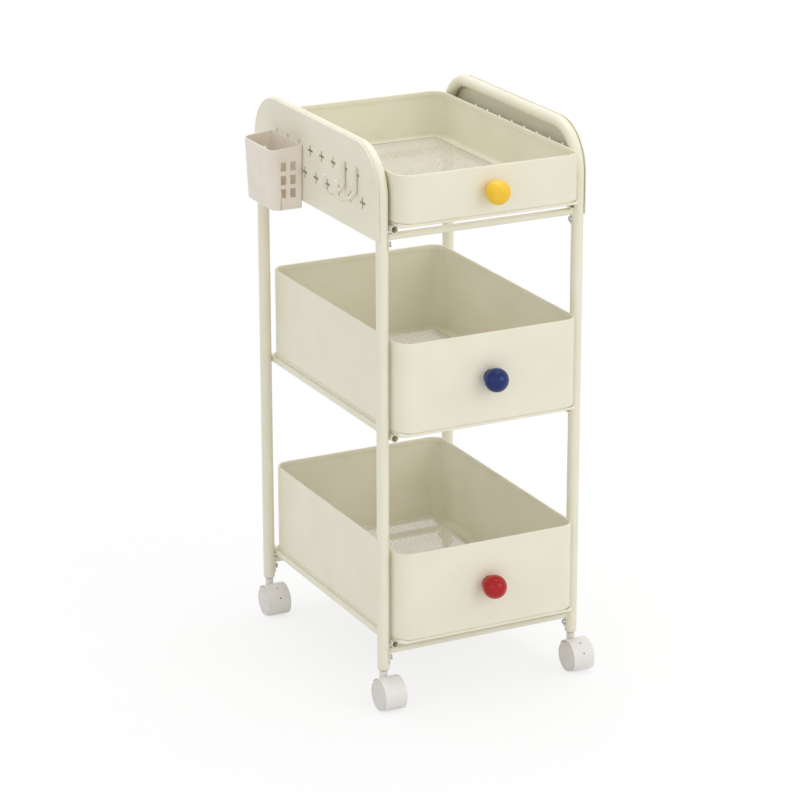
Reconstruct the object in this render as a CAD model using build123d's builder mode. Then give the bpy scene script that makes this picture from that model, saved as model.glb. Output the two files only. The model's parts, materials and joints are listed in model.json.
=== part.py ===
from build123d import *
import os
from math import cos, floor, radians, sin

# Rolling storage cart: three pull-out sheet-steel bins between two tube side frames,
# a slotted panel at the top of each side frame, a hung pen cup, two hung hooks
# and four twin-wheel swivel casters.
# Millimetres, +Z up, -Y to the front. The origin is on the floor, midway between the posts.

# Side frames: one round tube each, bent into an upside-down U
cart_height = 800.0
post_spacing_x = 300.0
post_spacing_y = 384.0
post_diameter = 17.0
post_wall = 1.2
post_bottom = 52.0
frame_bend_radius = 60.0
weld_depth = 0.2

# Slotted side panels
panel_height = 125.0
panel_thickness = 1.2
panel_proud = 0.4
panel_edge = 7.0
slot_length = 16.0
slot_width = 4.0
slot_end_margin = 53.0
slot_row_below_top = 48.5
slot_row_drop = 34.5
slot_row_shift = -6.0
upper_slot_count = 8
lower_slot_count = 9

# Bins
bottom_bin_level = 101.0
middle_bin_share = 0.507
top_bin_below_top = 100.0
deep_bin_height = 128.5
shallow_bin_height = 67.0
bin_side_gap = 2.6
bin_front_reach = 31.5
bin_rear_reach = 5.0
bin_corner_radius = 22.0
bin_wall = 1.0
bin_bottom_bend = 2.5
hem_width = 2.6
hem_height = 7.0
flange_width = 14.0

# Mesh floors and the wire frames under them
mesh_thickness = 0.8
mesh_inset = 2.0
mesh_border = 18.0
mesh_pitch_x = 20.0
mesh_pitch_y = 30.0
mesh_strand = 3.0
wire_diameter = 4.0
wire_inset = 0.6
wire_corner_radius = 9.0

# Runner rails and cross bars
rail_diameter = 11.0
rail_wall = 1.0
rail_end_reach = 2.0
slide_gap = 0.3
bar_diameter = 10.0
bar_wall = 1.0
bar_gap = 1.0
saddle_thickness = 1.6
saddle_height = 24.0
saddle_wrap = 5.5
fit_gap = 0.1

# Cross bar screws
screw_diameter = 4.0
screw_head_diameter = 7.6
screw_head_height = 2.4
screw_grip = 5.5
screw_drop = 11.0
screw_clearance = 0.1

# Knobs and their screws
knob_diameter = 34.0
knob_neck_diameter = 22.0
knob_neck_length = 3.5
knob_screw_reach = 14.0

# Hung parts: neck through a slot, tongue behind the panel
hang_gap = 0.3
tab_width = 3.2
tab_neck = 6.0
tab_tongue_drop = 7.0
tab_tongue_thickness = 2.0

# Pen cup
cup_length = 100.0
cup_depth = 48.0
cup_height = 87.0
cup_taper = 3.0
cup_wall = 1.8
cup_corner_radius = 13.0
cup_back_corner_radius = 3.0
cup_rim_below_slots = 1.5
cup_back_rise = 4.0
cup_slot_number = 2
window_width = 8.5
window_height = 13.5
window_pitch_x = 14.6
window_pitch_z = 19.3
window_shift_x = 2.0

# Hooks
hook_width = 8.0
hook_thickness = 3.6
hook_throat_radius = 12.8
hook_plate_top = 10.0
hook_plate_length = 27.5
hook_tip_height = 12.0
hook_edge_round = 0.8
front_hook_slot = 8
rear_hook_slot = 7

# Casters
wheel_diameter = 44.0
wheel_width = 10.5
wheel_edge_round = 1.5
wheel_face_groove_radius = 15.5
wheel_face_groove = 0.7
wheel_side_gap = 0.5
caster_trail = 18.0
web_width = 13.0
web_radius = 18.5
shield_width = 33.0
shield_gap = 0.7
shield_thickness = 1.5
shield_floor_gap = 5.0
shield_hole_diameter = 2.8
shield_hole_angles = (27.0, 66.0)
boss_diameter = 11.4
boss_bottom = 29.0
axle_diameter = 5.0
axle_running_gap = 0.05
stem_diameter = 8.0
stem_bottom = 31.0
stem_collar_diameter = 10.4
stem_collar_height = 1.3
stem_running_gap = 0.06
stem_reach = 24.0
socket_length = 27.0
socket_cap_height = 3.0
socket_cap_round = 2.4
socket_gap = 0.05
socket_bore_gap = 0.02

# Values that follow from the ones above
post_x = post_spacing_x / 2
post_y = post_spacing_y / 2
post_radius = post_diameter / 2
tube_bottom = post_bottom + socket_cap_height
frame_top_z = cart_height - post_radius
panel_outer_x = post_x + post_radius + panel_proud
panel_half_y = post_y + panel_edge
panel_top = frame_top_z + panel_edge
panel_bottom = panel_top - panel_height
slot_pitch = 2 * (panel_half_y - slot_end_margin) / (lower_slot_count - 1)
slot_row_height = cart_height - slot_row_below_top
lower_row_height = slot_row_height - slot_row_drop
top_bin_level = cart_height - top_bin_below_top
middle_bin_rise = middle_bin_share * (top_bin_level - bottom_bin_level)
middle_bin_level = bottom_bin_level + middle_bin_rise
bin_half_x = post_x - post_radius - bin_side_gap
bin_front_y = -(post_y + bin_front_reach)
bin_rear_y = post_y + bin_rear_reach
bin_centre_y = (bin_front_y + bin_rear_y) / 2
bin_depth = bin_rear_y - bin_front_y
wire_radius = wire_diameter / 2
rail_radius = rail_diameter / 2
rail_x = post_x - post_radius - rail_radius + weld_depth
bar_radius = bar_diameter / 2
screw_radius = screw_diameter / 2
knob_radius = knob_diameter / 2
wheel_radius = wheel_diameter / 2
stem_radius = stem_diameter / 2
axle_radius = axle_diameter / 2
boss_top = post_bottom - stem_collar_height - hang_gap
saddle_outer_radius = post_radius + fit_gap + saddle_thickness
bins = {
    "bottom": (bottom_bin_level, deep_bin_height),
    "middle": (middle_bin_level, deep_bin_height),
    "top": (top_bin_level, shallow_bin_height),
}
sides = {"left": -1, "right": 1}
casters = {
    "front_left": (-post_x, -post_y),
    "front_right": (post_x, -post_y),
    "rear_left": (-post_x, post_y),
    "rear_right": (post_x, post_y),
}
plain_caster = "front_left"
up_from_base = (Align.CENTER, Align.CENTER, Align.MIN)


def wire_z(level):
    """Height of the wire frame's centre line under a bin whose sheet starts at level."""
    return level - mesh_thickness - wire_radius + weld_depth


def rail_z(level):
    """Height of a runner rail's axis, with the wire frame resting just above it."""
    return wire_z(level) - wire_radius - slide_gap - rail_radius


def bar_z(level):
    """Height of a cross bar's axis, just under the rails of the same bin."""
    return rail_z(level) - rail_radius - bar_gap - bar_radius


def upper_slot_y(number):
    """Y of a slot in the upper row, where number 1 is the rearmost."""
    return slot_row_shift + ((upper_slot_count + 1) / 2 - number) * slot_pitch


def lower_slot_y(number):
    """Y of a slot in the lower row, where number 1 is the rearmost."""
    return slot_row_shift + ((lower_slot_count + 1) / 2 - number) * slot_pitch


cross_bars = {
    "front_bar_bottom": (-post_y, bar_z(bottom_bin_level)),
    "rear_bar_bottom": (post_y, bar_z(bottom_bin_level)),
    "front_bar_top": (-post_y, bar_z(top_bin_level)),
    "rear_bar_top": (post_y, bar_z(top_bin_level)),
}
bar_screw_places = [
    (side, y, z - screw_drop) for y, z in cross_bars.values() for side in sides.values()
]


def save(name, part):
    """Labels a finished piece and writes its STEP file."""
    part.label = name
    export_step(part, f"parts/{name}.step")


def facing_across(side, x, y, z):
    """A place whose own Z axis points along X, outwards on the given side."""
    return Location((x, y, z), (0, side * 90, 0))


def side_frame(side):
    """Bent tube: front post, top rail and rear post in one, with its screw holes."""
    x = side * post_x
    with BuildPart() as frame:
        with BuildLine(Plane.YZ.offset(x)) as path:
            FilletPolyline(
                (-post_y, tube_bottom),
                (-post_y, frame_top_z),
                (post_y, frame_top_z),
                (post_y, tube_bottom),
                radius=frame_bend_radius,
            )
        with BuildSketch(Plane(origin=path.line @ 0, z_dir=path.line % 0)):
            Circle(post_radius)
            Circle(post_radius - post_wall, mode=Mode.SUBTRACT)
        sweep(path=path.wires()[0])
        for place_side, y, z in bar_screw_places:
            if place_side == side:
                with Locations(facing_across(-side, x, y, z)):
                    Cylinder(
                        screw_radius + screw_clearance,
                        post_diameter,
                        align=up_from_base,
                        mode=Mode.SUBTRACT,
                    )
    return frame.part


def peg_panel(side):
    """Flat sheet on the outside of a side frame, with two staggered rows of plus slots."""
    x_low = panel_outer_x - panel_thickness if side > 0 else -panel_outer_x
    upper = [(upper_slot_y(n + 1), slot_row_height) for n in range(upper_slot_count)]
    lower = [(lower_slot_y(n + 1), lower_row_height) for n in range(lower_slot_count)]
    with BuildPart() as panel:
        with BuildSketch(Plane.YZ.offset(x_low)) as outline:
            with Locations((0, (panel_top + panel_bottom) / 2)):
                Rectangle(2 * panel_half_y, panel_top - panel_bottom)
            fillet(
                outline.vertices().group_by(Axis.Y)[-1],
                frame_bend_radius + panel_edge,
            )
            with Locations(*upper, *lower):
                Rectangle(slot_length, slot_width, mode=Mode.SUBTRACT)
                Rectangle(slot_width, slot_length, mode=Mode.SUBTRACT)
        extrude(amount=panel_thickness)
    return panel.part


def side_rail(side, level):
    """Straight tube welded inside two posts, which a bin slides on; its ends are open."""
    length = post_spacing_y + 2 * (post_radius + rail_end_reach)
    with BuildPart() as rail:
        with BuildSketch(Plane.XZ.offset(-length / 2)):
            with Locations((side * rail_x, rail_z(level))):
                Circle(rail_radius)
                Circle(rail_radius - rail_wall, mode=Mode.SUBTRACT)
        extrude(amount=length)
    return rail.part


def cross_bar(y, z):
    """Tube from post to post, with a curved saddle at each end for its screw."""
    reach = post_x - post_radius - fit_gap - saddle_thickness / 2
    saddle_top = z + bar_radius + bar_gap / 2
    with BuildPart() as bar:
        with BuildSketch(Plane.YZ.offset(-reach)):
            with Locations((y, z)):
                Circle(bar_radius)
                Circle(bar_radius - bar_wall, mode=Mode.SUBTRACT)
        extrude(amount=2 * reach)
        for side in sides.values():
            keep_x = side * (post_x - saddle_wrap - saddle_outer_radius / 2)
            with BuildSketch(Plane.XY.offset(saddle_top - saddle_height)):
                with Locations((side * post_x, y)):
                    Circle(saddle_outer_radius)
                    Circle(post_radius + fit_gap, mode=Mode.SUBTRACT)
                with Locations((keep_x, y)):
                    Rectangle(
                        saddle_outer_radius,
                        2 * saddle_outer_radius,
                        mode=Mode.INTERSECT,
                    )
            extrude(amount=saddle_height)
            with Locations(facing_across(side, side * post_x, y, z - screw_drop)):
                Cylinder(
                    screw_radius + screw_clearance,
                    2 * post_diameter,
                    mode=Mode.SUBTRACT,
                )
    return bar.part


def pan_head_screw(place, shank_length):
    """Adds one screw to the part being built; its shank runs along the place's Z axis."""
    with Locations(place):
        Cylinder(screw_radius, shank_length, align=up_from_base)
    with Locations(place * Location((0, 0, -screw_head_height))):
        Cylinder(screw_head_diameter / 2, screw_head_height, align=up_from_base)


def cross_bar_screws():
    """Eight screws that hold the cross bars' saddles to the posts."""
    with BuildPart() as screws:
        for side, y, z in bar_screw_places:
            head_x = side * (post_x - saddle_outer_radius - fit_gap)
            pan_head_screw(facing_across(side, head_x, y, z), screw_grip)
    return screws.part


def bin_outline(inset):
    """Draws a bin's outline, seen from above, drawn in by inset."""
    with Locations((0, bin_centre_y)):
        RectangleRounded(
            2 * (bin_half_x - inset),
            bin_depth - 2 * inset,
            bin_corner_radius - inset,
        )


def bin_tub(level, height):
    """Open sheet tub: hemmed rim, bent lower edge and a flange round the open floor."""
    knob_z = level + height / 2
    with BuildPart() as tub:
        with BuildSketch(Plane.XY.offset(level)):
            bin_outline(0)
        extrude(amount=height)
        fillet(tub.faces().sort_by(Axis.Z)[0].edges(), bin_bottom_bend)
        with BuildSketch(Plane.XY.offset(level + bin_wall)):
            bin_outline(bin_wall)
        extrude(amount=height - hem_height - bin_wall, mode=Mode.SUBTRACT)
        cavity_floor = tub.faces().filter_by_position(
            Axis.Z, level + bin_wall, level + bin_wall
        )
        fillet(cavity_floor.edges(), bin_bottom_bend - bin_wall)
        with BuildSketch(Plane.XY.offset(level + height - hem_height)):
            bin_outline(hem_width)
        extrude(amount=hem_height, mode=Mode.SUBTRACT)
        with BuildSketch(Plane.XY.offset(level)):
            bin_outline(flange_width)
        extrude(amount=bin_wall, mode=Mode.SUBTRACT)
        with Locations(Location((0, bin_front_y, knob_z), (90, 0, 0))):
            Cylinder(
                screw_radius + screw_clearance,
                4 * bin_wall,
                mode=Mode.SUBTRACT,
            )
    return tub.part


def mesh_places():
    """Centres of the diamond openings: two grids, the second shifted by half a pitch."""
    field_x = 2 * (bin_half_x - mesh_border)
    field_y = bin_depth - 2 * mesh_border
    across = floor(field_x / mesh_pitch_x)
    along = floor(field_y / mesh_pitch_y)
    places = []
    for columns, rows in ((across, along), (across - 1, along - 1)):
        for i in range(columns):
            for j in range(rows):
                x = (i - (columns - 1) / 2) * mesh_pitch_x
                y = bin_centre_y + (j - (rows - 1) / 2) * mesh_pitch_y
                places.append((x, y))
    return places


def bin_floor(level):
    """Diamond mesh sheet welded under the tub's flange."""
    half_x = (mesh_pitch_x - mesh_strand) / 2
    half_y = half_x * mesh_pitch_y / mesh_pitch_x
    with BuildPart() as mesh:
        with BuildSketch(Plane.XY.offset(level - mesh_thickness)):
            bin_outline(mesh_inset)
            with Locations(*mesh_places()):
                Polygon(
                    (half_x, 0),
                    (0, half_y),
                    (-half_x, 0),
                    (0, -half_y),
                    align=None,
                    mode=Mode.SUBTRACT,
                )
        extrude(amount=mesh_thickness)
    return mesh.part


def bin_wire(level):
    """Round wire bent into a frame under the bin's edge; it slides on the rails."""
    half_x = bin_half_x - wire_inset - wire_radius
    half_y = bin_depth / 2 - wire_inset - wire_radius
    with BuildPart() as wire:
        with BuildLine(Plane((0, bin_centre_y, wire_z(level)))) as path:
            FilletPolyline(
                (half_x, -half_y),
                (half_x, half_y),
                (-half_x, half_y),
                (-half_x, -half_y),
                radius=wire_corner_radius,
                close=True,
            )
        with BuildSketch(Plane(origin=path.line @ 0, z_dir=path.line % 0)):
            Circle(wire_radius)
        sweep(path=path.wires()[0])
    return wire.part


def knob(level, height):
    """Ball knob with a short neck that seats on the bin's front face."""
    z = level + height / 2
    neck_radius = knob_neck_diameter / 2
    neck_y = bin_front_y - knob_neck_length
    ball_y = neck_y - (knob_radius**2 - neck_radius**2) ** 0.5
    with BuildPart() as ball:
        with BuildSketch(Plane.XY.offset(z)):
            with BuildLine():
                Polyline(
                    (0, ball_y - knob_radius),
                    (0, bin_front_y),
                    (neck_radius, bin_front_y),
                    (neck_radius, neck_y),
                )
                ThreePointArc(
                    (neck_radius, neck_y),
                    (knob_radius, ball_y),
                    (0, ball_y - knob_radius),
                )
            make_face()
        revolve(axis=Axis((0, 0, z), (0, 1, 0)))
        with Locations(Location((0, bin_front_y, z), (90, 0, 0))):
            Cylinder(
                screw_radius,
                knob_screw_reach + hang_gap,
                align=up_from_base,
                mode=Mode.SUBTRACT,
            )
    return ball.part


def knob_screw(level, height):
    """Screw from inside the bin, through its front wall, into the knob."""
    place = Location((0, bin_front_y + bin_wall, level + height / 2), (90, 0, 0))
    with BuildPart() as screw:
        pan_head_screw(place, knob_screw_reach + bin_wall)
    return screw.part


def hanging_tab(y):
    """Adds a tab to a part hung on the left panel: neck in the slot, tongue behind."""
    neck_bottom = slot_row_height - slot_length / 2 + hang_gap
    outer_x = -panel_outer_x - hang_gap
    tongue_x = -panel_outer_x + panel_thickness + hang_gap
    inner_x = tongue_x + tab_tongue_thickness
    with Locations(((outer_x + inner_x) / 2, y, neck_bottom + tab_neck / 2)):
        Box(inner_x - outer_x, tab_width, tab_neck)
    tongue_height = tab_neck + tab_tongue_drop
    tongue_z = neck_bottom + tab_neck - tongue_height / 2
    with Locations(((tongue_x + inner_x) / 2, y, tongue_z)):
        Box(tab_tongue_thickness, tab_width, tongue_height)


def cup_outline(inset, drawn_in):
    """Draws the cup's outline at a level where its free sides are drawn in."""
    back_x = -panel_outer_x - hang_gap
    depth = cup_depth - drawn_in
    with BuildSketch(mode=Mode.PRIVATE) as outline:
        with Locations((back_x - inset - (depth - 2 * inset) / 2, cup_y)):
            Rectangle(depth - 2 * inset, cup_length - 2 * (drawn_in + inset))
        fillet(outline.vertices().group_by(Axis.X)[0], cup_corner_radius - inset)
        fillet(
            outline.vertices().group_by(Axis.X)[-1],
            max(cup_back_corner_radius - inset, cup_back_corner_radius / 2),
        )
    add(outline.sketch)


def pen_cup():
    """Tapered open cup, its rim higher at the back, with windows in its end walls."""
    back_x = -panel_outer_x - hang_gap
    middle_x = back_x - cup_depth / 2 + window_shift_x
    back_top = cup_top + cup_back_rise
    with BuildPart() as cup:
        with BuildSketch(Plane.XY.offset(cup_bottom)):
            cup_outline(0, cup_taper)
        with BuildSketch(Plane.XY.offset(back_top)):
            cup_outline(0, 0)
        loft()
        with BuildSketch(Plane.XY.offset(cup_bottom + cup_wall)):
            cup_outline(cup_wall, cup_taper)
        with BuildSketch(Plane.XY.offset(back_top)):
            cup_outline(cup_wall, 0)
        loft(mode=Mode.SUBTRACT)
        with BuildSketch(Plane.XZ.offset(-cup_y)):
            Polygon(
                (back_x, back_top),
                (back_x - cup_depth, back_top),
                (back_x - cup_depth, cup_top),
                align=None,
            )
        extrude(amount=cup_length, both=True, mode=Mode.SUBTRACT)
        with BuildSketch(Plane.XZ.offset(-cup_y)):
            with Locations((middle_x, (cup_top + cup_bottom) / 2)):
                with GridLocations(window_pitch_x, window_pitch_z, 2, 3):
                    Rectangle(window_width, window_height)
        extrude(amount=cup_length, both=True, mode=Mode.SUBTRACT)
        for y in cup_tab_places:
            hanging_tab(y)
    return cup.part


def hook(slot_number):
    """Flat plate that turns out into an upward J, hung from one slot of the left panel."""
    y = upper_slot_y(slot_number)
    back_x = -panel_outer_x - hang_gap
    plate_top = slot_row_height + hook_plate_top
    throat_z = plate_top - hook_plate_length
    outer_radius = hook_throat_radius + hook_thickness
    throat_x = back_x - outer_radius
    tip_x = throat_x - hook_throat_radius - hook_thickness / 2
    with BuildPart() as body:
        with BuildSketch(Plane.XZ.offset(-y)):
            with Locations((throat_x, throat_z)):
                Circle(outer_radius)
                Circle(hook_throat_radius, mode=Mode.SUBTRACT)
                Rectangle(
                    2 * outer_radius,
                    hook_plate_length,
                    align=(Align.CENTER, Align.MIN),
                    mode=Mode.SUBTRACT,
                )
            with Locations((back_x - hook_thickness / 2, plate_top)):
                Rectangle(
                    hook_thickness,
                    hook_plate_length,
                    align=(Align.CENTER, Align.MAX),
                )
            with Locations((tip_x, throat_z)):
                Rectangle(
                    hook_thickness,
                    hook_tip_height,
                    align=(Align.CENTER, Align.MIN),
                )
            with Locations((tip_x, throat_z + hook_tip_height)):
                Circle(hook_thickness / 2)
        extrude(amount=hook_width / 2, both=True)
        long_edges = body.faces().filter_by(Axis.Y).edges()
        fillet(long_edges, hook_edge_round)
        hanging_tab(y)
    return body.part


def caster_socket(x, y):
    """Plastic plug in a post's lower end: rounded cap below, bore for the stem."""
    with BuildPart() as socket:
        with Locations((x, y, post_bottom)):
            Cylinder(post_radius, socket_cap_height, align=up_from_base)
            fillet(
                socket.edges().group_by(Axis.Z)[0],
                socket_cap_round,
            )
            Cylinder(
                post_radius - post_wall - socket_gap,
                socket_length,
                align=up_from_base,
            )
            Cylinder(
                stem_radius + socket_bore_gap,
                stem_reach + hang_gap,
                align=up_from_base,
                mode=Mode.SUBTRACT,
            )
        for place_side, place_y, z in bar_screw_places:
            if (place_side * post_x, place_y) == (x, y):
                with Locations(facing_across(-place_side, x, y, z)):
                    Cylinder(
                        screw_radius + screw_clearance,
                        post_diameter,
                        align=up_from_base,
                        mode=Mode.SUBTRACT,
                    )
    return socket.part


def caster_stem(x, y):
    """Steel stem: pressed into the socket above, its collar bears on the fork's boss."""
    with BuildPart() as stem:
        with Locations((x, y, stem_bottom)):
            Cylinder(
                stem_radius,
                post_bottom + stem_reach - stem_bottom,
                align=up_from_base,
            )
        with Locations((x, y, post_bottom - stem_collar_height)):
            Cylinder(
                stem_collar_diameter / 2,
                stem_collar_height,
                align=up_from_base,
            )
    return stem.part


def trim_shield(axle_y):
    """Cuts a caster shield's side view open behind the wheels and near the floor."""
    far = 2 * wheel_diameter
    with Locations((axle_y, wheel_radius)):
        Rectangle(far, far, align=(Align.MIN, Align.MAX), mode=Mode.SUBTRACT)
    with Locations((axle_y + caster_trail, 0)):
        Rectangle(far, far, align=(Align.MIN, Align.MIN), mode=Mode.SUBTRACT)
    with Locations((axle_y, shield_floor_gap)):
        Rectangle(far, far, align=(Align.CENTER, Align.MAX), mode=Mode.SUBTRACT)


def caster_fork(x, y, drilled):
    """Moulded body between the two wheels: web, boss for the stem, and wheel shield."""
    axle_y = y - caster_trail
    inner_radius = wheel_radius + shield_gap
    outer_radius = inner_radius + shield_thickness
    with BuildPart() as fork:
        with BuildSketch(Plane.YZ.offset(x - web_width / 2)):
            with Locations((axle_y, wheel_radius)):
                Circle(outer_radius)
            trim_shield(axle_y)
            with Locations((axle_y, wheel_radius)):
                Circle(web_radius)
        extrude(amount=web_width)
        with BuildSketch(Plane.YZ.offset(x - shield_width / 2)):
            with Locations((axle_y, wheel_radius)):
                Circle(outer_radius)
                Circle(inner_radius, mode=Mode.SUBTRACT)
            trim_shield(axle_y)
        extrude(amount=shield_width)
        with Locations((x, y, boss_bottom)):
            Cylinder(
                boss_diameter / 2,
                boss_top - boss_bottom,
                align=up_from_base,
            )
        with Locations((x, y, stem_bottom - hang_gap)):
            Cylinder(
                stem_radius + stem_running_gap,
                boss_top - stem_bottom + 2 * hang_gap,
                align=up_from_base,
                mode=Mode.SUBTRACT,
            )
        with Locations(facing_across(1, x, axle_y, wheel_radius)):
            Cylinder(
                axle_radius + socket_bore_gap,
                shield_width,
                mode=Mode.SUBTRACT,
            )
        if drilled:
            for angle in shield_hole_angles:
                hole_y = axle_y - outer_radius * sin(radians(angle))
                hole_z = wheel_radius + outer_radius * cos(radians(angle))
                with Locations(Location((x, hole_y, hole_z), (angle, 0, 0))):
                    Cylinder(
                        shield_hole_diameter / 2,
                        2 * shield_thickness,
                        mode=Mode.SUBTRACT,
                    )
    return fork.part


def caster_axle(x, y):
    """Steel pin through the fork's web; a wheel turns on each end."""
    length = web_width + 2 * (wheel_side_gap + wheel_width - 2 * wheel_edge_round)
    with BuildPart() as axle:
        with Locations(facing_across(1, x, y - caster_trail, wheel_radius)):
            Cylinder(axle_radius, length)
    return axle.part


def caster_wheel(x, y, side):
    """Solid wheel with a blind bore for the axle and a ring groove in its outer face."""
    inner_x = x + side * (web_width / 2 + wheel_side_gap)
    bore_depth = wheel_width - 2 * wheel_edge_round + hang_gap
    start = facing_across(side, inner_x, y - caster_trail, wheel_radius)
    face = start * Location((0, 0, wheel_width - wheel_face_groove))
    with BuildPart() as wheel:
        with Locations(start):
            Cylinder(wheel_radius, wheel_width, align=up_from_base)
        fillet(wheel.edges().filter_by(GeomType.CIRCLE), wheel_edge_round)
        with Locations(start):
            Cylinder(
                axle_radius + axle_running_gap,
                bore_depth,
                align=up_from_base,
                mode=Mode.SUBTRACT,
            )
        with Locations(face):
            Cylinder(
                wheel_face_groove_radius,
                wheel_face_groove,
                align=up_from_base,
                mode=Mode.SUBTRACT,
            )
            Cylinder(
                wheel_face_groove_radius - 2 * wheel_face_groove,
                wheel_face_groove,
                align=up_from_base,
            )
    return wheel.part


# Places of the pen cup, which hangs from the slots each side of its middle one
cup_y = upper_slot_y(cup_slot_number)
cup_top = slot_row_height - cup_rim_below_slots
cup_bottom = cup_top - cup_height
cup_tab_places = [cup_y - slot_pitch, cup_y + slot_pitch]

os.makedirs("parts", exist_ok=True)

for side_name, side in sides.items():
    save(f"{side_name}_side_frame", side_frame(side))
    save(f"{side_name}_peg_panel", peg_panel(side))
    for tier, (level, height) in bins.items():
        save(f"{side_name}_rail_{tier}", side_rail(side, level))

for name, (y, z) in cross_bars.items():
    save(name, cross_bar(y, z))
save("cross_bar_screws", cross_bar_screws())

for tier, (level, height) in bins.items():
    save(f"{tier}_bin_tub", bin_tub(level, height))
    save(f"{tier}_bin_floor", bin_floor(level))
    save(f"{tier}_bin_wire", bin_wire(level))
    save(f"{tier}_knob", knob(level, height))
    save(f"{tier}_knob_screw", knob_screw(level, height))

save("pen_cup", pen_cup())
save("front_hook", hook(front_hook_slot))
save("rear_hook", hook(rear_hook_slot))

for corner, (x, y) in casters.items():
    save(f"{corner}_socket", caster_socket(x, y))
    save(f"{corner}_stem", caster_stem(x, y))
    save(f"{corner}_fork", caster_fork(x, y, corner != plain_caster))
    save(f"{corner}_axle", caster_axle(x, y))
    save(f"{corner}_left_wheel", caster_wheel(x, y, -1))
    save(f"{corner}_right_wheel", caster_wheel(x, y, 1))
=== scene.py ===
import bpy
import bmesh
import json
import numpy as np
from math import asin, cos, degrees, pi, radians, sin, sqrt
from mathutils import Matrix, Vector


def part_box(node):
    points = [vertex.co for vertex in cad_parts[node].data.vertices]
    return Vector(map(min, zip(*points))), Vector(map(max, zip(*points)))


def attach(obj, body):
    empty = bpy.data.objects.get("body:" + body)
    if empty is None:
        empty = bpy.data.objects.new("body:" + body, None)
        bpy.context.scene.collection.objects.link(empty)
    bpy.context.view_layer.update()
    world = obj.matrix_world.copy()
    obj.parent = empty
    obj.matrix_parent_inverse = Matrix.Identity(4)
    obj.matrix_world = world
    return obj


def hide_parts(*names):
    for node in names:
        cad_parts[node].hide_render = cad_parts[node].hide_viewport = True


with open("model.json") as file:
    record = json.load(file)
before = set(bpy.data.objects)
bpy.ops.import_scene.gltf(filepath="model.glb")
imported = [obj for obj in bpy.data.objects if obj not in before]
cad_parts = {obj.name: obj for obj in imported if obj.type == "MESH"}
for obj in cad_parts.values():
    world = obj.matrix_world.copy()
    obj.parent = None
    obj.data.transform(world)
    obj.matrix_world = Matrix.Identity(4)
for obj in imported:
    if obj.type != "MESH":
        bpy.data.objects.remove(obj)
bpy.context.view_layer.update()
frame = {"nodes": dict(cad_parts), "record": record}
nodes = frame["nodes"]
mm = 0.001                                   # settings are in millimetres, the scene in metres
mergeDistance = 0.002 * mm                   # points of a piece closer than this are one point
tierNames = ("bottom", "middle", "top")
cornerNames = ("front_left", "front_right", "rear_left", "rear_right")
print("frame loaded:", len(nodes), "nodes")


# Numbers read from the frame

def boxOf(name):
    low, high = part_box(name)
    return np.array(low), np.array(high)


# Camera: fitted to the photograph, a long lens a little above the bins

cameraSettings = {
    "target": (0.0, 0.0, 0.395),
    "azimuth": -27.0,                        # degrees, negative looks from the cup's side
    "elevation": 18.6,
    "distance": 4.559,
    "lens": 143.15,
    "shiftX": -0.0209,
    "shiftY": -0.0231,
}


def makeCamera(settings):
    a, e = radians(settings["azimuth"]), radians(settings["elevation"])
    back = Vector((sin(a) * cos(e), -cos(a) * cos(e), sin(e)))
    data = bpy.data.cameras.new("cartCamera")
    data.lens = settings["lens"]
    data.shift_x, data.shift_y = settings["shiftX"], settings["shiftY"]
    camera = bpy.data.objects.new("cartCamera", data)
    camera.location = Vector(settings["target"]) + settings["distance"] * back
    camera.rotation_euler = (-back).to_track_quat("-Z", "Y").to_euler()
    bpy.context.scene.collection.objects.link(camera)
    bpy.context.scene.camera = camera


makeCamera(cameraSettings)


# Light: a white studio, one wide soft lamp from the front right and one overhead

lightSettings = {
    "worldStrength": 0.77,
    "lamps": (
        # place, what it points at, size in metres, watts, colour
        ((1.5, -3.0, 1.9), (0.0, 0.0, 0.45), 2.2, 20.0, "#FFFDF8"),
        ((0.3, 0.4, 3.0), (0.0, 0.0, 0.40), 2.0, 22.0, "#FFFFFF"),
        ((-2.6, -1.6, 1.4), (0.0, 0.0, 0.45), 1.6, 4.0, "#F6F8FF"),
    ),
}


def linearChannel(value):
    return value / 12.92 if value <= 0.04045 else ((value + 0.055) / 1.055) ** 2.4


def hexColour(code):
    channels = [int(code[i:i + 2], 16) / 255 for i in (1, 3, 5)]
    return (*[linearChannel(c) for c in channels], 1.0)


def addNode(tree, kind, settings=None, links=None):
    # one node: settings by attribute or input name, links as input name to output socket
    node = tree.nodes.new(kind)
    for name, value in (settings or {}).items():
        if name in node.inputs:
            node.inputs[name].default_value = value
        else:
            setattr(node, name, value)
    for name, socket in (links or {}).items():
        tree.links.new(socket, node.inputs[name])
    return node


def seenRays(tree):
    # 1 for a ray that shows the background: from the camera, in gloss or through glass
    path = addNode(tree, "ShaderNodeLightPath")
    value = path.outputs["Is Camera Ray"]
    for kind in ("Is Glossy Ray", "Is Transmission Ray"):
        larger = addNode(tree, "ShaderNodeMath", {"operation": "MAXIMUM"})
        tree.links.new(value, larger.inputs[0])
        tree.links.new(path.outputs[kind], larger.inputs[1])
        value = larger.outputs[0]
    return value


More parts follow.
